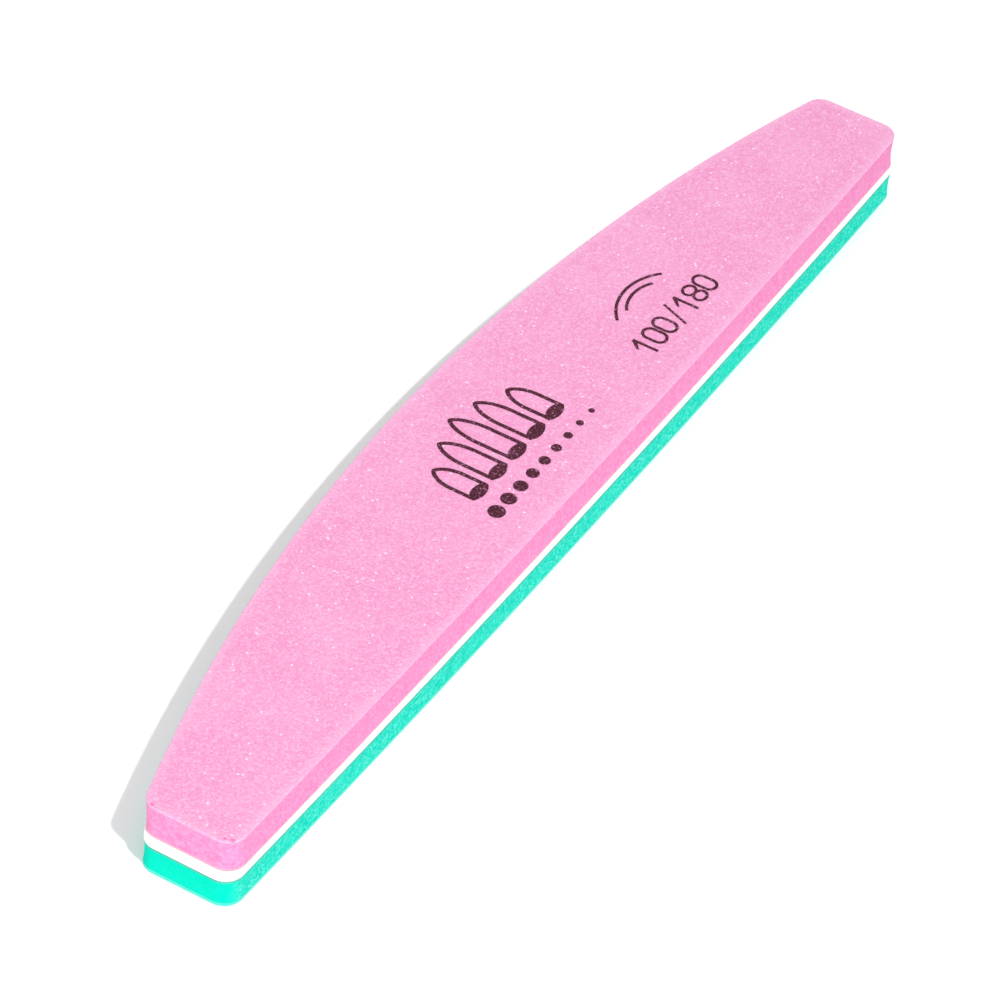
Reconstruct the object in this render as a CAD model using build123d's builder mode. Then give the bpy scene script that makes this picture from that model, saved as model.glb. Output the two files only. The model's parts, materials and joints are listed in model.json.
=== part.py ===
from build123d import *
import os

# Half-moon nail buffer block: a coarse abrasive sheet on a pink foam pad, a stiff core board,
# a mint foam pad and a finer abrasive sheet, all glued into one strip. Millimetres, +Z up.
# The origin is the middle of the resting face, X runs along the strip and +Y faces the bowed edge.

# Plan of the strip
strip_length = 178.0
strip_width = 28.0
end_width = 13.7
front_bulge = 0.9
front_corner_radius = 2.8
bow_corner_radius = 2.5

# Layers, from the resting face up
lower_grit_thickness = 0.2
lower_paper_thickness = 0.2
lower_sheet_tape_thickness = 0.1
lower_foam_thickness = 3.9
lower_core_tape_thickness = 0.1
core_thickness = 1.5
upper_core_tape_thickness = 0.1
upper_foam_thickness = 5.0
upper_sheet_tape_thickness = 0.1
upper_paper_thickness = 0.2
upper_grit_thickness = 0.25

# Edges
core_edge_radius = 0.25
core_tape_setback = 0.35
sheet_tape_setback = 0.15
grit_edge_chamfer = 0.1

# Printed marks: ink on the coarse face, read from the -X end with the bow at the top.
# Each margin is from the middle of the front edge to the foot of the marks.
ink_thickness = 0.04
figure_height = 4.05
figure_width = 2.65
figure_stroke = 0.45
figure_pitch = 2.83
stem_offset = 0.2
slash_overshoot = 0.4
slash_stroke = 0.37
slash_angle = 21.0
grit_mark_start = 23.5
grit_mark_margin = 5.2
flex_arc_span = 12.5
flex_arc_rise = 2.4
flex_arc_gap = 1.3
flex_end_setback = 2.6
flex_arc_x = 33.6
flex_arc_margin = 13.1
nail_width = 4.0
nail_pitch = 5.0
nail_heights = (8.4, 10.6, 12.0, 11.0, 8.8)
nail_shoulder_share = 0.52
nail_cheek_share = 0.85
nail_tip_share = 0.25
nail_cuticle_sag = 0.7
nail_stroke = 0.6
nail_moon_rise = 2.0
nail_row_x = -4.4
nail_row_margin = 9.4
scale_dot_radii = (1.25, 1.15, 1.05, 0.95, 0.85, 0.75, 0.65, 0.55, 0.45)
scale_dot_pitch = 3.15
scale_x = -3.8
scale_margin = 6.4

os.makedirs("parts", exist_ok=True)

# Heights of the layer boundaries
lower_paper_floor = lower_grit_thickness
lower_sheet_tape_floor = lower_paper_floor + lower_paper_thickness
lower_foam_floor = lower_sheet_tape_floor + lower_sheet_tape_thickness
lower_core_tape_floor = lower_foam_floor + lower_foam_thickness
core_floor = lower_core_tape_floor + lower_core_tape_thickness
upper_core_tape_floor = core_floor + core_thickness
upper_foam_floor = upper_core_tape_floor + upper_core_tape_thickness
upper_sheet_tape_floor = upper_foam_floor + upper_foam_thickness
upper_paper_floor = upper_sheet_tape_floor + upper_sheet_tape_thickness
upper_grit_floor = upper_paper_floor + upper_paper_thickness
top_face = upper_grit_floor + upper_grit_thickness

# Corners of the plan before rounding
half_length = strip_length / 2
front_middle_y = -strip_width / 2
front_corner_y = front_middle_y + front_bulge
bow_middle_y = strip_width / 2
bow_corner_y = front_corner_y + end_width


def strip_plan(setback=0.0):
    """Half-moon plan, drawn in all round by the setback: a barely bulged front edge, two square
    ends and one long circular bow, with rounded corners."""
    with BuildSketch() as plan:
        with BuildLine():
            front = ThreePointArc(
                (-half_length, front_corner_y), (0, front_middle_y), (half_length, front_corner_y)
            )
            right_end = Line(front @ 1, (half_length, bow_corner_y))
            bow = ThreePointArc(right_end @ 1, (0, bow_middle_y), (-half_length, bow_corner_y))
            Line(bow @ 1, front @ 0)
        make_face()
        fillet(plan.vertices().group_by(Axis.Y)[0], radius=front_corner_radius)
        fillet(plan.vertices().group_by(Axis.Y)[-1], radius=bow_corner_radius)
        if setback > 0:
            offset(amount=-setback, mode=Mode.REPLACE)
    return plan.sketch


def export_piece(piece, name):
    """Label a finished piece and write it as its own file."""
    piece.label = name
    export_step(piece, f"parts/{name}.step")


def flat_layer(floor, thickness, setback=0.0):
    """A plain sheet of the strip's plan, from its floor up."""
    with BuildPart() as sheet:
        with BuildSketch(Plane.XY.offset(floor)):
            add(strip_plan(setback))
        extrude(amount=thickness)
    return sheet.part


# Bonding tapes: double-sided film, cut back a little at the rim
tapes = {
    "lower_sheet_tape": (lower_sheet_tape_floor, lower_sheet_tape_thickness, sheet_tape_setback),
    "lower_core_tape": (lower_core_tape_floor, lower_core_tape_thickness, core_tape_setback),
    "upper_core_tape": (upper_core_tape_floor, upper_core_tape_thickness, core_tape_setback),
    "upper_sheet_tape": (upper_sheet_tape_floor, upper_sheet_tape_thickness, sheet_tape_setback),
}
for name, (floor, thickness, setback) in tapes.items():
    export_piece(flat_layer(floor, thickness, setback), name)

# Foam pads and the backing papers of the abrasive sheets: full plan, square edges
pads_and_papers = {
    "lower_foam": (lower_foam_floor, lower_foam_thickness),
    "upper_foam": (upper_foam_floor, upper_foam_thickness),
    "lower_backing_paper": (lower_paper_floor, lower_paper_thickness),
    "upper_backing_paper": (upper_paper_floor, upper_paper_thickness),
}
for name, (floor, thickness) in pads_and_papers.items():
    export_piece(flat_layer(floor, thickness), name)

# Grit coats: abrasive grains set in resin, worn to a bevel round the outer rim
with BuildPart() as lower_grit_coat:
    add(flat_layer(0, lower_grit_thickness))
    chamfer(lower_grit_coat.faces().sort_by(Axis.Z)[0].edges(), length=grit_edge_chamfer)
export_piece(lower_grit_coat.part, "lower_grit_coat")

with BuildPart() as upper_grit_coat:
    add(flat_layer(upper_grit_floor, upper_grit_thickness))
    chamfer(upper_grit_coat.faces().sort_by(Axis.Z)[-1].edges(), length=grit_edge_chamfer)
export_piece(upper_grit_coat.part, "upper_grit_coat")

# Core board: the stiff plastic strip between the pads, with eased rims
with BuildPart() as core_board:
    add(flat_layer(core_floor, core_thickness))
    rims = core_board.faces().sort_by(Axis.Z)[0].edges() + core_board.faces().sort_by(Axis.Z)[-1].edges()
    fillet(rims, radius=core_edge_radius)
export_piece(core_board.part, "core_board")


def figure_one():
    """Numeral 1 as a sketch: a stem with a slanted flag, its foot just right of the origin."""
    stem_left = stem_offset - figure_stroke / 2
    stem_right = stem_offset + figure_stroke / 2
    flag_tip = stem_offset - figure_width / 2
    flag_drop = figure_width / 2
    with BuildSketch() as figure:
        with Locations((stem_offset, figure_height / 2)):
            Rectangle(figure_stroke, figure_height)
        with BuildLine():
            Polyline(
                (stem_left, figure_height),
                (flag_tip, figure_height - flag_drop),
                (flag_tip, figure_height - flag_drop - figure_stroke),
                (stem_right, figure_height - figure_stroke),
                (stem_right, figure_height),
                close=True,
            )
        make_face()
    return figure.sketch


def figure_zero():
    """Numeral 0 as a sketch: a tall rounded ring standing on the origin."""
    with BuildSketch() as figure:
        with Locations((0, figure_height / 2)):
            SlotOverall(figure_height, figure_width, rotation=90)
            SlotOverall(
                figure_height - 2 * figure_stroke,
                figure_width - 2 * figure_stroke,
                rotation=90,
                mode=Mode.SUBTRACT,
            )
    return figure.sketch


def figure_eight():
    """Numeral 8 as a sketch: two round rings sharing a stroke, the lower one standing on the origin."""
    ring_height = (figure_height + figure_stroke) / 2
    centres = [(0, ring_height / 2), (0, figure_height - ring_height / 2)]
    with BuildSketch() as figure:
        with Locations(*centres):
            Ellipse(figure_width / 2, ring_height / 2)
        with Locations(*centres):
            Ellipse(
                figure_width / 2 - figure_stroke,
                ring_height / 2 - figure_stroke,
                mode=Mode.SUBTRACT,
            )
    return figure.sketch


def slash():
    """Slanted stroke as a sketch, standing a little over and under the figures."""
    with BuildSketch() as stroke:
        with Locations((0, figure_height / 2)):
            Rectangle(slash_stroke, figure_height + 2 * slash_overshoot, rotation=-slash_angle)
    return stroke.sketch


def print_marks(name, marks):
    """Ink film of the marks, a list of sketches and their places on the coarse face."""
    with BuildPart() as ink:
        with BuildSketch(Plane.XY.offset(top_face)):
            for mark, place in marks:
                with Locations(place):
                    add(mark)
        extrude(amount=ink_thickness)
    export_piece(ink.part, name)


def figure_place(position):
    """Middle of the foot of the figure at this position, counted from 0, in the grit marking."""
    figure_x = grit_mark_start + figure_width / 2 + position * figure_pitch
    return (figure_x, front_middle_y + grit_mark_margin)


# Grit marking, coarse figure / fine figure
print_marks(
    "coarse_grit_print",
    [
        (figure_one(), figure_place(0)),
        (figure_zero(), figure_place(1)),
        (figure_zero(), figure_place(2)),
    ],
)
print_marks("slash_print", [(slash(), figure_place(3))])
print_marks(
    "fine_grit_print",
    [
        (figure_one(), figure_place(4)),
        (figure_eight(), figure_place(5)),
        (figure_zero(), figure_place(6)),
    ],
)


def flex_arc(span, rise):
    """Thin bowed stroke as a sketch, its ends level with the origin."""
    with BuildSketch() as stroke:
        with BuildLine() as line:
            ThreePointArc((-span / 2, 0), (0, rise), (span / 2, 0))
        trace(line.edges(), line_width=figure_stroke)
    return stroke.sketch


# Flex sign: two bowed strokes, one inside the other
inner_flex_span = flex_arc_span - 2 * flex_end_setback
inner_flex_rise = flex_arc_rise - flex_arc_gap
flex_place = (flex_arc_x, front_middle_y + flex_arc_margin)
print_marks(
    "flex_print",
    [
        (flex_arc(flex_arc_span, flex_arc_rise), flex_place),
        (flex_arc(inner_flex_span, inner_flex_rise), flex_place),
    ],
)


def nail(height):
    """Fingernail as a sketch: an outlined almond with a filled moon, its cuticle at the origin."""
    half = nail_width / 2
    shoulder = nail_shoulder_share * height
    cheek = nail_cheek_share * height
    tip = nail_tip_share * half
    moon_corner = nail_moon_rise - nail_cuticle_sag
    with BuildSketch() as shape:
        with BuildLine():
            Line((half, nail_cuticle_sag), (half, shoulder))
            Bezier((half, shoulder), (half, cheek), (tip, height), (0, height))
            Bezier((0, height), (-tip, height), (-half, cheek), (-half, shoulder))
            Line((-half, shoulder), (-half, nail_cuticle_sag))
            ThreePointArc((-half, nail_cuticle_sag), (0, 0), (half, nail_cuticle_sag))
        make_face()
        offset(amount=-nail_stroke, mode=Mode.SUBTRACT)
        with BuildLine():
            Line((-half, nail_cuticle_sag), (-half, moon_corner))
            ThreePointArc((-half, moon_corner), (0, nail_moon_rise), (half, moon_corner))
            Line((half, moon_corner), (half, nail_cuticle_sag))
            ThreePointArc((half, nail_cuticle_sag), (0, 0), (-half, nail_cuticle_sag))
        make_face()
    return shape.sketch


# Emblem: five fingernails side by side
first_nail_x = nail_row_x - (len(nail_heights) - 1) / 2 * nail_pitch
nail_foot_y = front_middle_y + nail_row_margin
print_marks(
    "nail_emblem_print",
    [
        (nail(height), (first_nail_x + index * nail_pitch, nail_foot_y))
        for index, height in enumerate(nail_heights)
    ],
)


def dot(radius):
    """Round dot as a sketch."""
    with BuildSketch() as shape:
        Circle(radius)
    return shape.sketch


# Coarse-to-fine scale: a row of shrinking dots
first_dot_x = scale_x - (len(scale_dot_radii) - 1) / 2 * scale_dot_pitch
scale_y = front_middle_y + scale_margin
print_marks(
    "grit_scale_print",
    [
        (dot(radius), (first_dot_x + index * scale_dot_pitch, scale_y))
        for index, radius in enumerate(scale_dot_radii)
    ],
)
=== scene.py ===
"""Half-moon nail buffer block: looks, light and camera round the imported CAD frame.

The block is a glued strip. From the table up: fine grit on mint paper, a mint foam pad, a white
core board, a pink foam pad, and coarse grit on pink paper with ink marks. The pads, papers, grit
coats, films and the core are detailed surfaces that follow one outline; the ink is CAD nodes.
"""

import json
import math

import bpy
import numpy as np
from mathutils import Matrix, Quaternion, Vector


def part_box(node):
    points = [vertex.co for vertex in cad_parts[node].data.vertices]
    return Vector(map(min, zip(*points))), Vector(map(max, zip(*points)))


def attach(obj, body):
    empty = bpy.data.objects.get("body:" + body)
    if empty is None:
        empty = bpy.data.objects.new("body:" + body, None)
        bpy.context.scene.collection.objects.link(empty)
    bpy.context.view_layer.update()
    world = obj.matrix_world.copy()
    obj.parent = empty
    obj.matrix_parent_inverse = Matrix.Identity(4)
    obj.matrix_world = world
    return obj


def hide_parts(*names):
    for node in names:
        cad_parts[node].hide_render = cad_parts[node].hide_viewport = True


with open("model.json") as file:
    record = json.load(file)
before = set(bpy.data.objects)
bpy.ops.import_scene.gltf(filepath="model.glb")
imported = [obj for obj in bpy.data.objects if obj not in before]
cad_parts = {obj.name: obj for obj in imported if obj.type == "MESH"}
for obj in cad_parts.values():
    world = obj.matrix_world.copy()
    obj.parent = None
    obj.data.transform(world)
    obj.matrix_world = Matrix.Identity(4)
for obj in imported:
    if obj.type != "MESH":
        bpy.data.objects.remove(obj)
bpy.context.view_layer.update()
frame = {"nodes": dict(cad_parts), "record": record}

MM = 0.001

# Plan of the strip. Its length comes from the frame.
paper_low, paper_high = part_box("upper_backing_paper")
HALF_LENGTH = (paper_high.x - paper_low.x) / 2
STRIP_WIDTH = 28.0 * MM
END_WIDTH = 13.7 * MM
FRONT_BULGE = 0.9 * MM
FRONT_CORNER = 2.8 * MM
BOW_CORNER = 2.5 * MM

# Steps along a long side and across an end, rings of the edges, and the foam wall's step upwards
FINE_STEPS = (760, 84)
PLAIN_STEPS = (620, 52)
RIM_RINGS = 5
PAPER_RINGS = 5
FILM_RINGS = 3
FOAM_STEP = 0.2 * MM

# Die-cut edges: how far each is drawn in from the plan, or rounded
FOAM_SETBACK_AT_SHEET = 0.05 * MM
FOAM_SETBACK_AT_CORE = 0.04 * MM
FOAM_WAIST = 0.1 * MM
FOAM_SWAY = 0.05 * MM
FOAM_SWAY_LENGTH = 7 * MM
COARSE_RIM = 0.14 * MM
FINE_RIM = 0.06 * MM
RIM_FLOOR_SHARE = 0.35
CORE_EASE = 0.12 * MM
CORE_MARK_DEPTH = 0.015 * MM
CORE_MARK_SPACING = 0.6 * MM
CORE_FILM_SETBACK = 0.3 * MM
SHEET_FILM_SETBACK = 0.06 * MM
FILM_WANDER = 0.03 * MM
LINT_SIZE = 0.3 * MM
PAPER_FIBRE = 0.5 * MM
PAPER_FIBRE_DEPTH = 0.02 * MM
PAPER_ROUNDING = 0.03 * MM

# How far each layer runs past the plan at its near end and at its far end. The lower half was
# glued on a little further along, so it stands proud of the upper half at the far end.
FLUSH = (0.0, 0.0)
PINK_FOAM_AT_CORE = (-0.32 * MM, 0.4 * MM)
CORE_ENDS = (0.12 * MM, 0.9 * MM)
MINT_FOAM_AT_CORE = (0.05 * MM, 0.9 * MM)
LOWER_SHEET_ENDS = (0.05 * MM, 0.75 * MM)

# Grains and cells: sizes, how far a dome or a pit reaches from its middle in grains or cells, and
# the grains' roughness and how far they are sunk, as shares of their height
COARSE_GRAIN = 0.26 * MM
COARSE_HEIGHT = 0.07 * MM
FINE_GRAIN = 0.18 * MM
FINE_HEIGHT = 0.04 * MM
GRAIN_REACH = 0.75
GRAIN_ROUGHNESS = 0.25
GRAIN_SUNK = 0.88
FOAM_CELL = 0.5 * MM
CELL_REACH = 0.55
CELL_DEPTH = 0.07 * MM
GLITTER_COUNT = 220
GLITTER_SIZES = (0.03 * MM, 0.055 * MM)

# Chips in the coarse rim: place and radius
CHIP_DEPTH = 0.06 * MM
CHIPS = [
    (-88.2 * MM, -11.2 * MM, 0.4 * MM),
    (-87.9 * MM, -12.2 * MM, 0.5 * MM),
    (-88.5 * MM, -0.5 * MM, 0.45 * MM),
]

# Random tables: each lattice has this many columns, unless it goes once round, and rows
LATTICE_COLUMNS = 1024
LATTICE_ROWS = 512

TABLE_HALF = 1500 * MM
TABLE_LEVEL = -0.01 * MM
TABLE_LINES = 9

# Camera, as the block is seen lying on a table
CAMERA_HEADING = 63.03
CAMERA_ELEVATION = 42.10
CAMERA_ROLL = 6.09
CAMERA_DISTANCE = 758.8 * MM
CAMERA_AIM = (-2.68 * MM, -0.94 * MM, 0.0)
CAMERA_LENS = 199.4
CAMERA_SENSOR = 36.0
CAMERA_REACH = (0.01, 10.0)

# Light
SKY_STRENGTH = 0.8
KEY_PLACE = (-331 * MM, -547 * MM, 897 * MM)
KEY_SIZE = 40 * MM
KEY_POWER = 7.4
FILL_PLACE = (-750 * MM, -180 * MM, 160 * MM)
FILL_SIZE = 300 * MM
FILL_POWER = 2.2

# Colours, linear
PINK_GRIT = (0.735, 0.338, 0.535)
PINK_GRIT_DEEP = (0.685, 0.23, 0.435)
PINK_GRIT_PALE = (0.76, 0.43, 0.61)
PINK_PAPER = (0.745, 0.3, 0.52)
PINK_CHIP = (0.76, 0.14, 0.33)
PINK_FOAM = (0.735, 0.273, 0.49)
PINK_FOAM_DEEP = (0.715, 0.19, 0.41)
PINK_FOAM_PALE = (0.74, 0.33, 0.54)
# Colour of the pink foam's end faces: painted light for the light on the ends
PINK_FOAM_END_PAINTED_LIGHT = (0.72, 0.262, 0.475)
MINT_GRIT = (0.06, 0.66, 0.52)
MINT_GRIT_DEEP = (0.03, 0.50, 0.40)
MINT_GRIT_PALE = (0.25, 0.78, 0.66)
MINT_PAPER = (0.06, 0.68, 0.54)
MINT_FOAM = (0.03, 0.63, 0.48)
MINT_FOAM_DEEP = (0.001, 0.5, 0.38)
MINT_FOAM_PALE = (0.13, 0.7, 0.57)
# Colour of the mint foam's end faces: painted light for the light on the ends
MINT_FOAM_END_PAINTED_LIGHT = (0.0, 0.62, 0.44)
CORE_WHITE = (0.86, 0.86, 0.85)
PINK_RIM = (0.77, 0.45, 0.66)
MINT_RIM = (0.20, 0.80, 0.66)
PINK_GLUE = (0.80, 0.42, 0.46)
# Band on the mint pad under the core's edge: painted shade, a darker mint
MINT_CORE_SHADE = (0.12, 0.4, 0.31)
PINK_FILM = (0.66, 0.28, 0.46)
# Film under the mint paper, painted paler than the paper to lift the shade in its thin recess
SHEET_FILM_PAINTED_LIGHT = (0.16, 0.72, 0.58)
# Film under the core on the mint side: dark, partly the adhesive's own colour, partly painted shade
# under the core's edge
MINT_FILM = (0.07, 0.42, 0.32)
INK = (0.05, 0.008, 0.016)
TABLE_WHITE = (0.9, 0.9, 0.9)
TABLE_GRAIN = (0.85, 0.85, 0.86)
# Near-white of the crystals: their pale colour and a painted glint
CRYSTAL_AND_GLINT_WHITE = (0.9, 0.72, 0.83)

# How much of the end colour each foam takes on its cut ends, and where that begins and is whole. The end
# colour is painted light, standing in for the different light on the end faces.
PINK_END_PAINTED_LIGHT_SHARE = 0.3
MINT_END_PAINTED_LIGHT_SHARE = 0.97
END_TINT_BEGINS = HALF_LENGTH - 2.4 * MM
END_TINT_WHOLE = HALF_LENGTH - 0.7 * MM
# Widths of the band along the core face: a glue tint on the pink pad, painted shade under the core's
# edge on the mint pad
PINK_GLUE_WIDTH = 0.25 * MM
MINT_CORE_SHADE_WIDTH = 0.34 * MM

# Sockets of the Mix node for colours: both inputs and the output
MIX_FIRST, MIX_SECOND, MIX_RESULT = 6, 7, 2


# ---------------------------------------------------------------- outline


def outline_arcs():
    """The plan as arcs, counter-clockwise from the front edge: (centre x, centre y, radius, first
    angle, last angle). The front and the bow are circles through three points; each corner is a
    circle that touches its end line and its long edge from inside."""
    front_middle = -STRIP_WIDTH / 2
    front_radius = (HALF_LENGTH**2 + FRONT_BULGE**2) / (2 * FRONT_BULGE)
    bow_rise = STRIP_WIDTH - FRONT_BULGE - END_WIDTH
    bow_radius = (HALF_LENGTH**2 + bow_rise**2) / (2 * bow_rise)
    front_y = front_middle + front_radius
    bow_y = STRIP_WIDTH / 2 - bow_radius
    front_x, bow_x = HALF_LENGTH - FRONT_CORNER, HALF_LENGTH - BOW_CORNER
    front_lean = math.asin(front_x / (front_radius - FRONT_CORNER))
    bow_lean = math.asin(bow_x / (bow_radius - BOW_CORNER))
    front_corner_y = front_y - (front_radius - FRONT_CORNER) * math.cos(front_lean)
    bow_corner_y = bow_y + (bow_radius - BOW_CORNER) * math.cos(bow_lean)
    down, up = -math.pi / 2, math.pi / 2
    front = (0, front_y, front_radius, down - front_lean, down + front_lean)
    front_right = (front_x, front_corner_y, FRONT_CORNER, down + front_lean, 0)
    bow_right = (bow_x, bow_corner_y, BOW_CORNER, 0, up - bow_lean)
    bow = (0, bow_y, bow_radius, up - bow_lean, up + bow_lean)
    bow_left = (-bow_x, bow_corner_y, BOW_CORNER, up + bow_lean, math.pi)
    front_left = (-front_x, front_corner_y, FRONT_CORNER, math.pi, 2 * math.pi + down - front_lean)
    return front, front_right, bow_right, bow, bow_left, front_left


def arc_points(arc, first, last, count=4000):
    """Close points and their outward angles along a share of an arc: centre + radius * (cos, sin)."""
    x, y, radius, start, end = arc
    angle = start + (end - start) * np.linspace(first, last, count)
    return np.stack([x + radius * np.cos(angle), y + radius * np.sin(angle), angle])


def even_side(stretches, steps):
    """Points at even steps along stretches joined end to end, with outward normals. The distance
    walked is summed along the close points, and places and normals are read back at even steps."""
    x, y, angle = np.concatenate(stretches, axis=1)
    walked = np.concatenate([[0], np.cumsum(np.hypot(np.diff(x), np.diff(y)))])
    at = np.linspace(0, walked[-1], steps + 1)
    points = np.stack([np.interp(at, walked, values) for values in (x, y)], 1)
    normals = np.stack([np.interp(at, walked, values) for values in (np.cos(angle), np.sin(angle))], 1)
    return points, normals / np.linalg.norm(normals, axis=1, keepdims=True)


class Outline:
    """The strip's outline in four sides that meet halfway round its corners. points and normals go
    once round it, and distance is how far round each point lies."""

    def __init__(self, steps):
        front, front_right, bow_right, bow, bow_left, front_left = outline_arcs()
        routes = [
            (front_left, front, front_right),
            (front_right, bow_right),
            (bow_right, bow, bow_left),
            (bow_left, front_left),
        ]
        sides = []
        for number, route in enumerate(routes):
            first = arc_points(route[0], 0.5, 1)
            whole = [arc_points(arc, 0, 1) for arc in route[1:-1]]
            last = arc_points(route[-1], 0, 0.5)
            sides.append(even_side([first, *whole, last], steps[number % 2]))
        self.points = np.concatenate([points[:-1] for points, _ in sides])
        self.normals = np.concatenate([normals[:-1] for _, normals in sides])
        gaps = np.linalg.norm(np.roll(self.points, -1, 0) - self.points, axis=1)
        self.distance = np.concatenate([[0], np.cumsum(gaps)[:-1]])
        self.length = gaps.sum()

    def ring(self, setback, height):
        """Points once round the outline, drawn in by the setback along the normals, at a height."""
        points = self.points - np.reshape(setback, (-1, 1)) * self.normals
        return np.column_stack([points, np.broadcast_to(height, len(points))])


def lengthen(points, near, far):
    """Points stretched along the strip, so that each end moves out by its amount: x is scaled by
    1 + near / half the length on the near side and by 1 + far / half the length on the far side."""
    points = np.array(points)
    points[:, 0] *= 1 + np.where(points[:, 0] > 0, far, near) / HALF_LENGTH
    return points


def patch(ring, steps):
    """Grid that fills a ring of four sides: each point is the two long sides' blend plus the two
    short sides' blend, less the blend of the four corners. Returns (long, short, 3) points."""
    a, b = steps
    front, right = ring[: a + 1], ring[a : a + b + 1]
    bow = ring[a + b : 2 * a + b + 1][::-1]
    left = np.concatenate([ring[2 * a + b :], ring[:1]])[::-1]
    s = np.linspace(0, 1, a + 1)[:, None, None]
    t = np.linspace(0, 1, b + 1)[None, :, None]
    across = (1 - t) * front[:, None] + t * bow[:, None]
    along = (1 - s) * left[None] + s * right[None]
    corners = (
        (1 - s) * (1 - t) * front[0] + s * (1 - t) * front[-1] + (1 - s) * t * bow[0] + s * t * bow[-1]
    )
    return across + along - corners


# ---------------------------------------------------------------- relief


def lattice(seed, shape):
    """Table of even random numbers from 0 to 1, the same on every run."""
    return np.random.default_rng(seed).random(shape)


def lattice_place(u, v, pitch, wrap):
    """Places on a lattice of this pitch, in columns and rows, and its number of columns. With wrap,
    the columns go a whole number of times into that length, and repeat after it."""
    columns = LATTICE_COLUMNS if wrap is None else max(1, round(wrap / pitch))
    width = pitch if wrap is None else wrap / columns
    return u / width, v / pitch, columns


def eased(share):
    """Share that starts and ends gently: 3 * share squared - 2 * share cubed."""
    return share * share * (3 - 2 * share)


def soft_noise(u, v, pitch, seed, wrap=None):
    """Smooth random heights from -1 to 1: lattice values at this pitch, joined by an eased blend of
    the four round each point."""
    x, y, columns = lattice_place(u, v, pitch, wrap)
    table = lattice(seed, (columns, LATTICE_ROWS)) * 2 - 1
    column, row = np.floor(x).astype(int), np.floor(y).astype(int)
    across, along = eased(x - column), eased(y - row)
    this, following = column % columns, (column + 1) % columns
    below, above = row % LATTICE_ROWS, (row + 1) % LATTICE_ROWS
    lower = table[this, below] * (1 - across) + table[following, below] * across
    upper = table[this, above] * (1 - across) + table[following, above] * across
    return lower * (1 - along) + upper * along


def cells(u, v, pitch, seed, wrap=None):
    """Distance to the nearest of one scattered point per lattice square, in pitches, and that
    point's own random number."""
    x, y, columns = lattice_place(u, v, pitch, wrap)
    table = lattice(seed, (3, columns, LATTICE_ROWS))
    column, row = np.floor(x).astype(int), np.floor(y).astype(int)
    nearest, own = np.full(np.shape(x), np.inf), np.zeros(np.shape(x))
    for right in (-1, 0, 1):
        for up in (-1, 0, 1):
            square = (column + right) % columns, (row + up) % LATTICE_ROWS
            point_x = column + right + table[0][square]
            point_y = row + up + table[1][square]
            away = np.hypot(point_x - x, point_y - y)
            closer = away < nearest
            nearest = np.where(closer, away, nearest)
            own = np.where(closer, table[2][square], own)
    return nearest, own


# ---------------------------------------------------------------- meshes


def place_object(name, data):
    """New object of the scene that shows this data, at the origin until it is moved."""
    thing = bpy.data.objects.new(name, data)
    bpy.context.scene.collection.objects.link(thing)
    return thing


def make_piece(name, points, quads, caps, smooth=True):
    """Mesh object from an array of points, an array of quads and a few larger closing faces."""
    loops = np.concatenate([quads.ravel(), *caps])
    sizes = np.concatenate([np.full(len(quads), 4), [len(cap) for cap in caps]])
    mesh = bpy.data.meshes.new(name)
    mesh.vertices.add(len(points))
    mesh.vertices.foreach_set("co", points.astype(np.float32).ravel())
    mesh.loops.add(len(loops))
    mesh.loops.foreach_set("vertex_index", loops.astype(np.int32))
    mesh.polygons.add(len(sizes))
    mesh.polygons.foreach_set("loop_start", (np.cumsum(sizes) - sizes).astype(np.int32))
    mesh.polygons.foreach_set("use_smooth", np.full(len(sizes), smooth))
    mesh.update(calc_edges=True)
    piece = place_object(name, mesh)
    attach(piece, "root")
    return piece


def wall_quads(rows, count):
    """Quads between closed rows of count points, lowest row first, facing outwards."""
    around = np.arange(count)
    row_start = (np.arange(rows - 1) * count)[:, None]
    lower = row_start + around
    lower_next = row_start + (around + 1) % count
    return np.stack([lower, lower_next, lower_next + count, lower + count], -1).reshape(-1, 4)


def grid_quads(index):
    """Quads of a grid of point numbers, facing up when its second direction is left of its first."""
    return np.stack([index[:-1, :-1], index[1:, :-1], index[1:, 1:], index[:-1, 1:]], -1).reshape(-1, 4)


def patch_index(first_ring_point, first_inner_point, steps):
    """Point numbers of a patch whose border is a ring already made and whose inside is new."""
    a, b = steps
    count = 2 * (a + b)
    ring = first_ring_point + np.arange(count)
    index = np.empty((a + 1, b + 1), int)
    index[:, 0] = ring[: a + 1]
    index[-1, :] = ring[a : a + b + 1]
    index[:, -1] = ring[a + b : 2 * a + b + 1][::-1]
    index[0, 1:] = ring[2 * a + b :][::-1]
    index[0, 0] = ring[0]
    index[1:-1, 1:-1] = first_inner_point + np.arange((a - 1) * (b - 1)).reshape(a - 1, b - 1)
    return index


def walled_piece(name, rings):
    """Closed layer from rings stacked upwards, with flat ends hidden against its neighbours."""
    count = len(rings[0])
    lowest_ring = np.arange(count)
    highest_ring = (len(rings) - 1) * count + lowest_ring
    caps = [lowest_ring[::-1], highest_ring]
    return make_piece(name, np.concatenate(rings), wall_quads(len(rings), count), caps)


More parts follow.
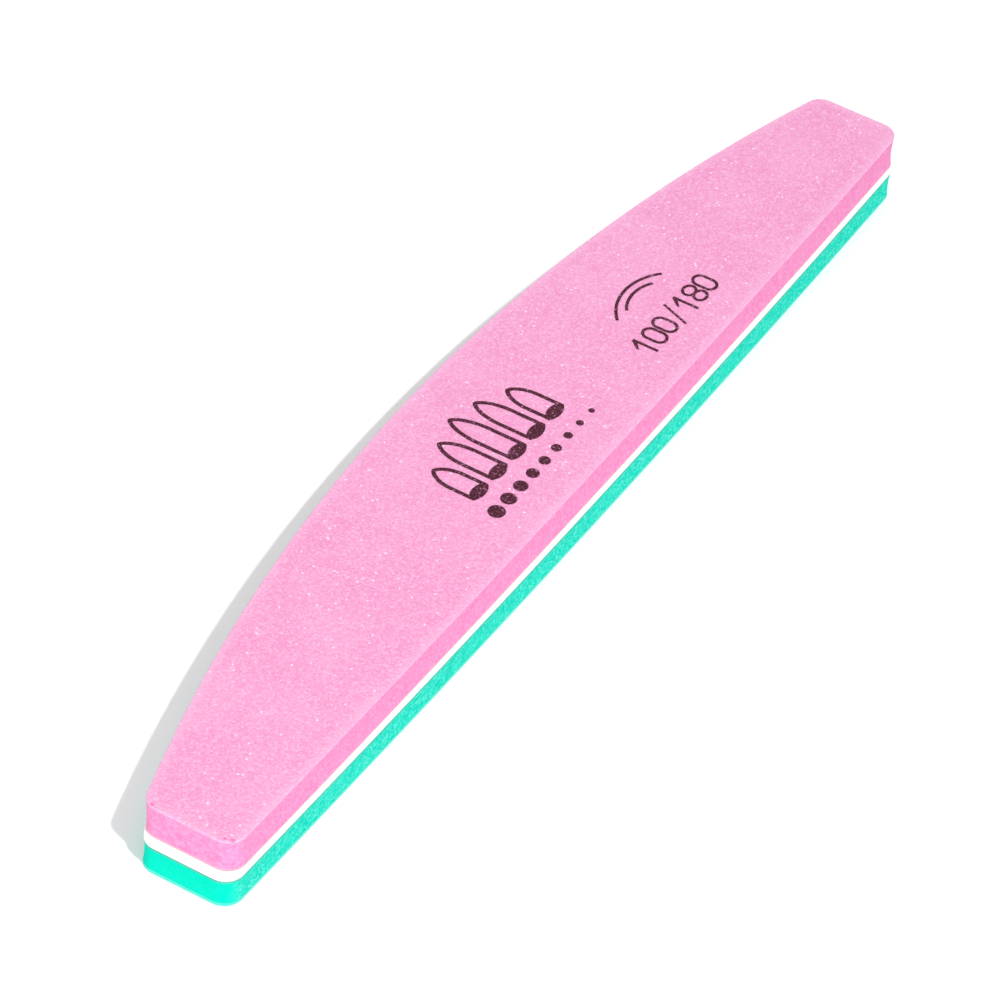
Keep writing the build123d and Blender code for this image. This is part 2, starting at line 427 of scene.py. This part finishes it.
def capped_piece(name, rings, steps, level, relief, upwards):
    """Closed layer from stacked rings whose visible end is a patch with relief: the height of each
    point inside the end ring is the level plus the relief at its x and y."""
    count = len(rings[0])
    lowest_ring = np.arange(count)
    highest_ring = (len(rings) - 1) * count + lowest_ring
    grid = patch(rings[-1] if upwards else rings[0], steps)[1:-1, 1:-1].reshape(-1, 3)
    grid[:, 2] = level + relief(grid[:, 0], grid[:, 1])
    first_inner_point = len(rings) * count
    if upwards:
        index = patch_index(highest_ring[0], first_inner_point, steps)
        hidden = lowest_ring[::-1]
    else:
        index = patch_index(lowest_ring[0], first_inner_point, steps)[:, ::-1]
        hidden = highest_ring
    quads = np.concatenate([wall_quads(len(rings), count), grid_quads(index)])
    return make_piece(name, np.concatenate([*rings, grid]), quads, [hidden], smooth=False)


def give_attribute(piece, name, values):
    """Stores one number per point on the piece, for its material to read."""
    attribute = piece.data.attributes.new(name, "FLOAT", "POINT")
    attribute.data.foreach_set("value", np.asarray(values, np.float32))


def mesh_points(piece):
    """The piece's points as an array."""
    points = np.empty(len(piece.data.vertices) * 3, np.float32)
    piece.data.vertices.foreach_get("co", points)
    return points.reshape(-1, 3).astype(float)


def move_points(piece, points):
    """Puts the piece's points at new places."""
    piece.data.vertices.foreach_set("co", points.astype(np.float32).ravel())
    piece.data.update()


def edge_distance(x, y):
    """How far inside the plan a point lies: the least of its distances inside the front circle,
    inside the bow circle and short of the end lines."""
    front, _, _, bow, _, _ = outline_arcs()
    inside_front = front[2] - np.hypot(x - front[0], y - front[1])
    inside_bow = bow[2] - np.hypot(x - bow[0], y - bow[1])
    return np.minimum(np.minimum(inside_front, inside_bow), HALF_LENGTH - np.abs(x))


# ---------------------------------------------------------------- pieces


def grit_relief(grain, height, seed):
    """Relief of packed grains: a dome over each cell, of that cell's own height, sunk so that only
    the tallest stand a little over the face."""

    def relief(x, y):
        away, own = cells(x, y, grain, seed)
        dome = np.sqrt(np.clip(1 - (away / GRAIN_REACH) ** 2, 0, 1)) * (0.45 + 0.55 * own)
        rough = soft_noise(x, y, grain * 0.6, seed + 1) * GRAIN_ROUGHNESS
        return height * (dome + rough - GRAIN_SUNK)

    return relief


def chip_depth(x, y):
    """Small chips broken out of the coarse rim: a round-bottomed pit at each place."""
    depth = np.zeros(np.shape(x))
    for chip_x, chip_y, radius in CHIPS:
        away = ((x - chip_x) ** 2 + (y - chip_y) ** 2) / radius**2
        depth = np.maximum(depth, np.clip(1 - away, 0, 1))
    return depth


def grit_coat(name, node, steps, rim, ends, grain, height, seed, upwards):
    """Grain-covered coat: a worn quarter-round rim carried along the outline, then the face. The
    grains' relief is whole on the face and dies out down the rim as the sine of its turn."""
    lowest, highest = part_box(node)
    back, face = (lowest.z, highest.z) if upwards else (highest.z, lowest.z)
    outline = Outline(steps)
    grains = grit_relief(grain, height, seed)

    def relief(x, y):
        """Grains and chips on the face that looks up. Below, only the gaps between grains, so that
        the coat lies flat on the table."""
        if upwards:
            return grains(x, y) - CHIP_DEPTH * chip_depth(x, y)
        return -np.minimum(grains(x, y), 0)

    rings = [outline.ring(0, back)]
    for turn in np.linspace(0, math.pi / 2, RIM_RINGS):
        ragged = 0.5 * height * soft_noise(outline.distance, turn, grain, seed + 2, outline.length)
        setback = rim * (1 - math.cos(turn)) - ragged * math.cos(turn)
        rise = RIM_FLOOR_SHARE + (1 - RIM_FLOOR_SHARE) * math.sin(turn)
        ring = outline.ring(np.maximum(setback, 0), back + (face - back) * rise)
        ring[:, 2] += relief(ring[:, 0], ring[:, 1]) * math.sin(turn)
        rings.append(ring)
    if not upwards:
        rings = rings[::-1]

    piece = capped_piece(name, rings, steps, face, relief, upwards)
    points = mesh_points(piece)
    give_attribute(piece, "edge", edge_distance(points[:, 0], points[:, 1]) / MM)
    if upwards:
        give_attribute(piece, "chip", chip_depth(points[:, 0], points[:, 1]))
    move_points(piece, lengthen(points, *ends))
    return piece


def backing_paper(name, node, ends, seed):
    """Backing sheet whose cut edge is a low bulge with torn fibres: setback = fibre depth * size of
    the noise + rounding * (2 * share of the height - 1) to the fourth power."""
    lowest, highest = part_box(node)
    outline = Outline(PLAIN_STEPS)
    rings = []
    for share in np.linspace(0, 1, PAPER_RINGS):
        fibre = np.abs(soft_noise(outline.distance, share, PAPER_FIBRE, seed, outline.length))
        setback = PAPER_FIBRE_DEPTH * fibre + PAPER_ROUNDING * (2 * share - 1) ** 4
        ring = outline.ring(setback, lowest.z + share * (highest.z - lowest.z))
        rings.append(lengthen(ring, *ends))
    return walled_piece(name, rings)


def bond_film(name, node, setback, ends, seed):
    """Adhesive film: a thin layer whose edge wanders in and out by lint-sized noise."""
    lowest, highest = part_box(node)
    outline = Outline(PLAIN_STEPS)
    rings = []
    for share in np.linspace(0, 1, FILM_RINGS):
        lint = FILM_WANDER * soft_noise(outline.distance, share, LINT_SIZE, seed, outline.length)
        ring = outline.ring(setback + lint, lowest.z + share * (highest.z - lowest.z))
        rings.append(lengthen(ring, *ends))
    return walled_piece(name, rings)


def foam_pad(name, node, core_above, core_ends, sheet_ends, seed):
    """Die-cut foam pad: its wall is drawn in between the sheet and the core by a half sine, with a
    shallow pit over each open cell and a slow sway. Its setback and its two ends go over from the
    sheet's to the core's as the square of the way between them."""
    lowest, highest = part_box(node)
    height = highest.z - lowest.z
    outline = Outline(PLAIN_STEPS)
    around, once_round = outline.distance, outline.length
    rings = []
    for share in np.linspace(0, 1, round(height / FOAM_STEP) + 1):
        to_core = (share if core_above else 1 - share) ** 2
        level = lowest.z + share * height
        away, own = cells(around, np.full(len(around), level), FOAM_CELL, seed, once_round)
        pit = CELL_DEPTH * np.clip(1 - (away / CELL_REACH) ** 2, 0, 1) * own
        sway = FOAM_SWAY * soft_noise(around, level, FOAM_SWAY_LENGTH, seed + 1, once_round)
        free = math.sin(math.pi * share) ** 0.5
        edge = FOAM_SETBACK_AT_SHEET + (FOAM_SETBACK_AT_CORE - FOAM_SETBACK_AT_SHEET) * to_core
        waist = FOAM_WAIST * math.sin(math.pi * share)
        ends = [sheet + (core - sheet) * to_core for sheet, core in zip(sheet_ends, core_ends)]
        rings.append(lengthen(outline.ring(edge + waist + (pit + sway) * free, level), *ends))
    return walled_piece(name, rings)


def core_strip(name, node, seed):
    """Core board: flat faces and rims eased by quarter rounds, with fine upright cutting marks."""
    lowest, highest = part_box(node)
    outline = Outline(PLAIN_STEPS)
    rounding = []
    for turn in np.linspace(0, math.pi / 2, RIM_RINGS):
        rounding.append((CORE_EASE * (1 - math.sin(turn)), CORE_EASE * (1 - math.cos(turn))))
    profile = [(setback, lowest.z + depth) for setback, depth in rounding]
    profile += [(setback, highest.z - depth) for setback, depth in rounding[::-1]]
    noise = soft_noise(outline.distance, 0.0, CORE_MARK_SPACING, seed, outline.length)
    marks = CORE_MARK_DEPTH * np.abs(noise)
    rings = [lengthen(outline.ring(setback + marks, level), *CORE_ENDS) for setback, level in profile]
    return walled_piece(name, rings)


def scattered_grains(name, node, count, sizes, seed):
    """Loose-standing glitter grains: eight-sided crystals, each turned at random by a rotation built
    from a random unit quaternion, half sunk in the coat. Three places are drawn for each grain, as
    those off the face are dropped."""
    rng = np.random.default_rng(seed)
    _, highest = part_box(node)
    x = rng.uniform(-HALF_LENGTH, HALF_LENGTH, 3 * count)
    y = rng.uniform(-STRIP_WIDTH / 2, STRIP_WIDTH / 2, 3 * count)
    kept = np.flatnonzero(edge_distance(x, y) > 2 * COARSE_RIM)[:count]
    x, y = x[kept], y[kept]
    corners = np.array([(1, 0, 0), (-1, 0, 0), (0, 1, 0), (0, -1, 0), (0, 0, 1), (0, 0, -1)], float)
    upper_faces = [(0, 2, 4), (2, 1, 4), (1, 3, 4), (3, 0, 4)]
    lower_faces = [(2, 0, 5), (1, 2, 5), (3, 1, 5), (0, 3, 5)]
    faces = np.array(upper_faces + lower_faces)
    q = rng.normal(size=(len(x), 4))
    a, b, c, d = (q / np.linalg.norm(q, axis=1, keepdims=True)).T
    turn = np.array(
        [
            [1 - 2 * (c * c + d * d), 2 * (b * c - a * d), 2 * (b * d + a * c)],
            [2 * (b * c + a * d), 1 - 2 * (b * b + d * d), 2 * (c * d - a * b)],
            [2 * (b * d - a * c), 2 * (c * d + a * b), 1 - 2 * (b * b + c * c)],
        ]
    )
    size = rng.uniform(*sizes, len(x))
    middle = np.column_stack([x, y, highest.z + 0.1 * size])
    points = middle[:, None] + size[:, None, None] * np.einsum("ijn,kj->nki", turn, corners)
    triangles = (6 * np.arange(len(x)))[:, None, None] + faces
    mesh = bpy.data.meshes.new(name)
    mesh.from_pydata(points.reshape(-1, 3).tolist(), [], triangles.reshape(-1, 3).tolist())
    piece = place_object(name, mesh)
    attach(piece, "root")
    return piece


# ---------------------------------------------------------------- materials


class Value:
    """A number on its way through a material. Arithmetic on it adds Math nodes."""

    def __init__(self, recipe, socket):
        self.recipe, self.socket = recipe, socket

    def math(self, operation, first, second):
        return self.recipe.node("Math", {"operation": operation}, {0: first, 1: second})

    def __add__(self, other):
        return self.math("ADD", self, other)

    def __radd__(self, other):
        return self.math("ADD", other, self)

    def __sub__(self, other):
        return self.math("SUBTRACT", self, other)

    def __rsub__(self, other):
        return self.math("SUBTRACT", other, self)

    def __mul__(self, other):
        return self.math("MULTIPLY", self, other)

    def __rmul__(self, other):
        return self.math("MULTIPLY", other, self)

    def __gt__(self, other):
        return self.math("GREATER_THAN", self, other)

    def __abs__(self):
        return self.recipe.node("Math", {"operation": "ABSOLUTE"}, {0: self})


class Recipe:
    """A material being put together: its shader, and one way of adding every other node."""

    def __init__(self, name, roughness, **fixed):
        self.material = bpy.data.materials.new(name)
        self.material.use_nodes = True
        self.tree = self.material.node_tree
        self.shader = self.tree.nodes["Principled BSDF"]
        self.set("Roughness", roughness)
        for socket, value in fixed.items():
            self.set(socket.replace("_", " "), value)

    def feed(self, socket, value):
        """Links a value to a socket, or sets the socket to a number or a colour."""
        if isinstance(value, Value):
            self.tree.links.new(value.socket, socket)
        elif isinstance(value, tuple) and len(value) == 3 and socket.type == "RGBA":
            socket.default_value = (*value, 1)
        else:
            socket.default_value = value

    def set(self, name, value):
        """Sets or links one socket of the shader."""
        self.feed(self.shader.inputs[name], value)

    def node(self, kind, settings=None, inputs=None, output=0):
        """Adds a node, with its settings and then its inputs, and gives one of its outputs."""
        node = self.tree.nodes.new("ShaderNode" + kind)
        for key, value in (settings or {}).items():
            setattr(node, key, value)
        for key, value in (inputs or {}).items():
            self.feed(node.inputs[key], value)
        return Value(self, node.outputs[output])

    def place(self):
        """Place on the piece, in metres from the frame's origin."""
        return self.node("TexCoord", output="Object")

    def axis(self, letter):
        """One coordinate of the place, in metres."""
        return self.node("SeparateXYZ", None, {"Vector": self.place()}, letter)

    def noise(self, size, detail=2.0, roughness=0.5):
        """Noise from 0 to 1 with features of about this size in metres."""
        inputs = {"Vector": self.place(), "Scale": 1 / size, "Detail": detail, "Roughness": roughness}
        return self.node("TexNoise", None, inputs)

    def cell(self, size, output="Distance"):
        """Cells of about this size: the distance to each one's middle, or its own random colour."""
        return self.node("TexVoronoi", None, {"Vector": self.place(), "Scale": 1 / size}, output)

    def own_number(self, size):
        """A random number for each cell of this size."""
        return self.node("SeparateColor", None, {"Color": self.cell(size, "Color")})

    def step(self, value, low, high):
        """0 below low and 1 above high, eased between."""
        inputs = {"Value": value, "From Min": low, "From Max": high}
        return self.node("MapRange", {"interpolation_type": "SMOOTHSTEP"}, inputs)

    def mix(self, factor, first, second):
        """Colour that goes from the first to the second as the factor goes from 0 to 1."""
        inputs = {"Factor": factor, MIX_FIRST: first, MIX_SECOND: second}
        return self.node("Mix", {"data_type": "RGBA"}, inputs, MIX_RESULT)

    def attribute(self, name):
        """Number stored on the piece's points under this name."""
        return self.node("Attribute", {"attribute_name": name}, None, "Fac")

    def bump(self, height, depth, strength):
        """Tilts the surface as if it had this height, times a depth in metres."""
        inputs = {"Height": height, "Distance": depth, "Strength": strength}
        self.set("Normal", self.node("Bump", None, inputs))


def grit_finish(name, deep, base, pale, rim, grain):
    """Abrasive coat: tinted grains of three depths of colour, rare pale crystals painted near-white as
    glints, a paler worn rim where the paper shows, and a deeper colour in the chips of a coat that
    stores them."""
    recipe = Recipe(name, 0.62, Specular_IOR_Level=0.35)
    tint = recipe.own_number(grain)
    clump = recipe.own_number(2.4 * grain)
    clouds = recipe.noise(9 * MM)
    speckle = recipe.noise(1.6 * grain, 3.0, 0.7)
    blotch = recipe.noise(1.1 * MM, 3.0, 0.6)
    colour = recipe.mix(recipe.step(speckle, 0.3, 0.68), deep, base)
    colour = recipe.mix(recipe.step(blotch, 0.46, 0.68) * 0.6, colour, deep)
    colour = recipe.mix(recipe.step(clump, 0.45, 0.95) * 0.4, colour, deep)
    colour = recipe.mix(recipe.step(tint, 0.6, 1.0) * 0.65, colour, pale)
    colour = recipe.mix(recipe.step(clouds, 0.35, 0.75) * 0.18, colour, pale)
    # Rare cells painted near-white: pale crystals with a painted glint
    crystal_glint = recipe.own_number(1.1 * grain) > 0.994
    colour = recipe.mix(crystal_glint * 0.65, colour, CRYSTAL_AND_GLINT_WHITE)
    wear = recipe.noise(0.45 * MM, 3.0, 0.7)
    worn = recipe.step(recipe.noise(5 * MM), 0.35, 0.6)
    edge = recipe.attribute("edge")
    fade = 1 - recipe.step(edge, 0.0, 1.7)
    line = 1 - recipe.step(edge + wear * 0.5, 0.16, 0.42)
    colour = recipe.mix(fade * 0.4, colour, pale)
    torn = recipe.step(wear, 0.42, 0.6)
    colour = recipe.mix(line * (1 - torn) * 0.5, colour, deep)
    colour = recipe.mix(line * (0.1 + 0.7 * worn) * torn, colour, rim)
    colour = recipe.mix(recipe.step(recipe.attribute("chip") * wear, 0.12, 0.4) * 0.8, colour, PINK_CHIP)
    recipe.set("Base Color", colour)
    recipe.set("Roughness", 0.7 - crystal_glint * 0.4)
    recipe.bump(1 - recipe.cell(grain), 0.35 * grain, 0.35)
    return recipe.material


def foam_finish(name, deep, base, pale, end, end_painted_light_share, glue_tint_and_shade, glue_level, glue_and_shade_width):
    """Open-celled foam: small deep pores in a paler web, slow changes of tone, and patchy colour on the
    two cut ends, which also take their own colour as painted light standing in for the different light
    on the end faces. A band along the face glued to the core is a glue tint on the pink pad and painted
    shade under the core's edge on the mint pad."""
    recipe = Recipe(name, 0.9, Specular_IOR_Level=0.03)
    pore = 1 - recipe.step(recipe.cell(FOAM_CELL * 0.8), 0.12, 0.55)
    fine = recipe.noise(0.5 * MM, 4.0, 0.7)
    slow = recipe.noise(5 * MM)
    at_end = recipe.step(abs(recipe.axis("X")), END_TINT_BEGINS, END_TINT_WHOLE)
    colour = recipe.mix(recipe.step(fine, 0.38, 0.62), deep, base)
    # Painted light: the end faces take the end colour, standing in for the different light on them
    colour = recipe.mix(at_end * end_painted_light_share, colour, end)
    blotch = recipe.step(recipe.noise(0.9 * MM), 0.42, 0.6)
    patchy = at_end * 0.9 * (1 - end_painted_light_share)
    colour = recipe.mix(blotch * patchy, colour, deep)
    colour = recipe.mix((1 - blotch) * patchy * 0.5, colour, pale)
    colour = recipe.mix(pore * 0.35, colour, deep)
    web = recipe.step(recipe.own_number(0.3 * MM), 0.6, 1.0)
    # The end faces also lose the pale flecks and slow toning, part of the same painted light
    plain = 1 - end_painted_light_share * at_end
    colour = recipe.mix(web * 0.8 * plain, colour, pale)
    colour = recipe.mix(recipe.step(slow, 0.4, 0.7) * 0.25 * plain, colour, base)
    # Band along the core face: a glue tint on the pink pad, painted shade under the core's proud edge on
    # the mint pad
    band_reach = glue_and_shade_width * (0.5 + fine)
    glue_and_shade_band = band_reach > abs(recipe.axis("Z") - glue_level)
    colour = recipe.mix(glue_and_shade_band * 0.8, colour, glue_tint_and_shade)
    recipe.set("Base Color", colour)
    recipe.bump(recipe.cell(FOAM_CELL * 0.5) + fine, 0.08 * MM, 0.5)
    return recipe.material


def paper_finish(name, base, deep):
    """Dyed backing paper: fibres along the cut edge, faint stains."""
    recipe = Recipe(name, 0.8, Specular_IOR_Level=0.3)
    fibre = recipe.noise(0.35 * MM, 4.0, 0.7)
    recipe.set("Base Color", recipe.mix(recipe.step(fibre, 0.3, 0.75) * 0.5, base, deep))
    recipe.bump(fibre, 0.03 * MM, 0.5)
    return recipe.material


def core_finish(name):
    """White board: satin plastic with cutting marks and a little dust of the foams' colours."""
    recipe = Recipe(name, 0.42, Specular_IOR_Level=0.5)
    mark = recipe.noise(0.25 * MM)
    dust = recipe.step(recipe.noise(0.6 * MM, 4.0, 0.7), 0.62, 0.8)
    recipe.set("Base Color", recipe.mix(dust * 0.12, CORE_WHITE, PINK_GRIT_PALE))
    recipe.set("Roughness", 0.36 + mark * 0.2)
    recipe.bump(mark, 0.01 * MM, 0.4)
    return recipe.material


def film_finish(name, film, foam):
    """Adhesive film: a dull cut edge with the pad's lint stuck in it."""
    recipe = Recipe(name, 0.5, Specular_IOR_Level=0.4)
    lint = recipe.noise(0.4 * MM, 3.0, 0.6)
    recipe.set("Base Color", recipe.mix(recipe.step(lint, 0.4, 0.7) * 0.5, film, foam))
    recipe.bump(lint, 0.02 * MM, 0.5)
    return recipe.material


def ink_finish(name):
    """Screen ink on grit: dark film broken by the crowns of grains that it didn't cover."""
    recipe = Recipe(name, 0.6, Specular_IOR_Level=0.1)
    crown = recipe.step(recipe.own_number(COARSE_GRAIN), 0.9, 0.97)
    thin = recipe.noise(0.3 * MM, 3.0, 0.6)
    colour = recipe.mix(recipe.step(thin, 0.45, 0.75) * 0.25, INK, PINK_GRIT_DEEP)
    recipe.set("Base Color", recipe.mix(crown * 0.3, colour, PINK_GRIT))
    recipe.bump(1 - recipe.cell(COARSE_GRAIN), 0.3 * COARSE_GRAIN, 0.5)
    return recipe.material


def glitter_finish(name, tint):
    """Pale crystals with slight differences of tint and gloss; their near-white colour is partly a
    painted glint.
    """
    recipe = Recipe(name, 0.25, Specular_IOR_Level=0.6)
    shade = recipe.noise(1.3 * MM, 1.0)
    recipe.set("Base Color", recipe.mix(recipe.step(shade, 0.4, 0.6) * 0.6, CRYSTAL_AND_GLINT_WHITE, tint))
    recipe.set("Roughness", 0.15 + shade * 0.3)
    return recipe.material


def table_finish(name):
    """White table: matt, with a trace of grain."""
    recipe = Recipe(name, 0.9, Specular_IOR_Level=0.1)
    grain = recipe.noise(4 * MM, 3.0)
    recipe.set("Base Color", recipe.mix(grain * 0.04, TABLE_WHITE, TABLE_GRAIN))
    return recipe.material


# ---------------------------------------------------------------- making


def dress(piece, material, replaces=()):
    """Gives a piece its material and hides the CAD nodes that it replaces."""
    piece.data.materials.append(material)
    if replaces:
        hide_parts(*replaces)


def repaint(node, material):
    """Puts a material on a CAD node that keeps its own shape."""
    for material_slot in frame["nodes"][node].material_slots:
        material_slot.material = material


def make_table():
    """Flat white table: a plain grid, a hair under the block so that the two don't share a plane."""
    span = np.linspace(-TABLE_HALF, TABLE_HALF, TABLE_LINES)
    x, y = np.meshgrid(span, span, indexing="ij")
    points = np.stack([x, y, np.full_like(x, TABLE_LEVEL)], -1).reshape(-1, 3)
    quads = grid_quads(np.arange(len(points)).reshape(TABLE_LINES, TABLE_LINES))
    mesh = bpy.data.meshes.new("table")
    mesh.from_pydata(points.tolist(), [], quads.tolist())
    table = place_object("table", mesh)
    mesh.materials.append(table_finish("white_table"))


def round_lamp(name, place, size, power):
    """Round lamp that faces the middle of the block."""
    data = bpy.data.lights.new(name, "AREA")
    data.shape = "DISK"
    data.size = size
    data.energy = power
    lamp = place_object(name, data)
    lamp.location = place
    lamp.rotation_mode = "QUATERNION"
    lamp.rotation_quaternion = Vector(place).to_track_quat("Z", "Y")


def make_light():
    """Even white surroundings, a small key lamp and a broad low fill lamp by the near end."""
    world = bpy.data.worlds.new("studio")
    world.use_nodes = True
    background = world.node_tree.nodes["Background"]
    background.inputs["Color"].default_value = (1, 1, 1, 1)
    background.inputs["Strength"].default_value = SKY_STRENGTH
    bpy.context.scene.world = world
    round_lamp("key", KEY_PLACE, KEY_SIZE, KEY_POWER)
    round_lamp("fill", FILL_PLACE, FILL_SIZE, FILL_POWER)


def make_camera():
    """Long-lens camera: looks down at the aim along its heading, then rolls about that line."""
    heading, elevation = math.radians(CAMERA_HEADING), math.radians(CAMERA_ELEVATION)
    level = math.cos(elevation)
    look = Vector((math.sin(heading) * level, math.cos(heading) * level, -math.sin(elevation)))
    data = bpy.data.cameras.new("camera")
    data.lens, data.sensor_width = CAMERA_LENS, CAMERA_SENSOR
    data.clip_start, data.clip_end = CAMERA_REACH
    camera = place_object("camera", data)
    camera.location = Vector(CAMERA_AIM) - look * CAMERA_DISTANCE
    camera.rotation_mode = "QUATERNION"
    roll = Quaternion((0, 0, 1), math.radians(CAMERA_ROLL))
    camera.rotation_quaternion = look.to_track_quat("-Z", "Y") @ roll
    bpy.context.scene.camera = camera


# ---------------------------------------------------------------- the block


pink_grit = grit_finish(
    "pink_grit", PINK_GRIT_DEEP, PINK_GRIT, PINK_GRIT_PALE, PINK_RIM, COARSE_GRAIN
)
mint_grit = grit_finish(
    "mint_grit", MINT_GRIT_DEEP, MINT_GRIT, MINT_GRIT_PALE, MINT_RIM, FINE_GRAIN
)
pink_foam_low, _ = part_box("upper_foam")
_, mint_foam_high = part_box("lower_foam")
pink_foam = foam_finish(
    "pink_foam",
    deep=PINK_FOAM_DEEP,
    base=PINK_FOAM,
    pale=PINK_FOAM_PALE,
    end=PINK_FOAM_END_PAINTED_LIGHT,
    end_painted_light_share=PINK_END_PAINTED_LIGHT_SHARE,
    glue_tint_and_shade=PINK_GLUE,
    glue_level=pink_foam_low.z,
    glue_and_shade_width=PINK_GLUE_WIDTH,
)
mint_foam = foam_finish(
    "mint_foam",
    deep=MINT_FOAM_DEEP,
    base=MINT_FOAM,
    pale=MINT_FOAM_PALE,
    end=MINT_FOAM_END_PAINTED_LIGHT,
    end_painted_light_share=MINT_END_PAINTED_LIGHT_SHARE,
    # the mint pad's band under the core is painted shade
    glue_tint_and_shade=MINT_CORE_SHADE,
    glue_level=mint_foam_high.z,
    glue_and_shade_width=MINT_CORE_SHADE_WIDTH,
)
pink_paper = paper_finish("pink_paper", PINK_PAPER, PINK_GRIT)
mint_paper = paper_finish("mint_paper", MINT_PAPER, MINT_GRIT)

coarse_coat = grit_coat(
    "coarse_grit_face",
    "upper_grit_coat",
    steps=FINE_STEPS,
    rim=COARSE_RIM,
    ends=FLUSH,
    grain=COARSE_GRAIN,
    height=COARSE_HEIGHT,
    seed=11,
    upwards=True,
)
dress(coarse_coat, pink_grit, ["upper_grit_coat"])
fine_coat = grit_coat(
    "fine_grit_face",
    "lower_grit_coat",
    steps=PLAIN_STEPS,
    rim=FINE_RIM,
    ends=LOWER_SHEET_ENDS,
    grain=FINE_GRAIN,
    height=FINE_HEIGHT,
    seed=21,
    upwards=False,
)
dress(fine_coat, mint_grit, ["lower_grit_coat"])
pink_sheet = backing_paper("pink_backing_sheet", "upper_backing_paper", FLUSH, seed=31)
dress(pink_sheet, pink_paper, ["upper_backing_paper"])
mint_sheet = backing_paper("mint_backing_sheet", "lower_backing_paper", LOWER_SHEET_ENDS, seed=32)
dress(mint_sheet, mint_paper, ["lower_backing_paper"])
pink_pad = foam_pad("pink_foam_pad", "upper_foam", False, PINK_FOAM_AT_CORE, FLUSH, seed=41)
dress(pink_pad, pink_foam, ["upper_foam"])
mint_pad = foam_pad("mint_foam_pad", "lower_foam", True, MINT_FOAM_AT_CORE, LOWER_SHEET_ENDS, seed=42)
dress(mint_pad, mint_foam, ["lower_foam"])
core = core_strip("white_core_strip", "core_board", seed=51)
dress(core, core_finish("white_core"), ["core_board"])
glitter = scattered_grains("glitter_grains", "upper_grit_coat", GLITTER_COUNT, GLITTER_SIZES, seed=61)
dress(glitter, glitter_finish("glitter", PINK_GRIT_PALE))

pink_film = film_finish("pink_bond_film", PINK_FILM, PINK_FOAM)
# the mint core film's dark colour is partly the adhesive's own, partly painted shade under the core
mint_film = film_finish("mint_bond_film", MINT_FILM, MINT_FOAM_DEEP)
# painted light: the sheet film is paler than the paper, lifting the shade in its recess
sheet_film = film_finish("mint_sheet_glue", SHEET_FILM_PAINTED_LIGHT, MINT_PAPER)
films = [
    ("pink_sheet_film", "upper_sheet_tape", SHEET_FILM_SETBACK, FLUSH, pink_film),
    ("pink_core_film", "upper_core_tape", CORE_FILM_SETBACK, PINK_FOAM_AT_CORE, pink_film),
    ("mint_core_film", "lower_core_tape", CORE_FILM_SETBACK, MINT_FOAM_AT_CORE, mint_film),
    ("mint_sheet_film", "lower_sheet_tape", SHEET_FILM_SETBACK, LOWER_SHEET_ENDS, sheet_film),
]
for number, (name, node, setback, ends, material) in enumerate(films):
    dress(bond_film(name, node, setback, ends, seed=71 + number), material, [node])

ink = ink_finish("maroon_ink")
for part in frame["record"]["subparts"]:
    if part["material_slot"] == "maroon_ink":
        repaint(part["node"], ink)

make_table()
make_light()
make_camera()
bpy.context.scene.view_settings.view_transform = "Standard"
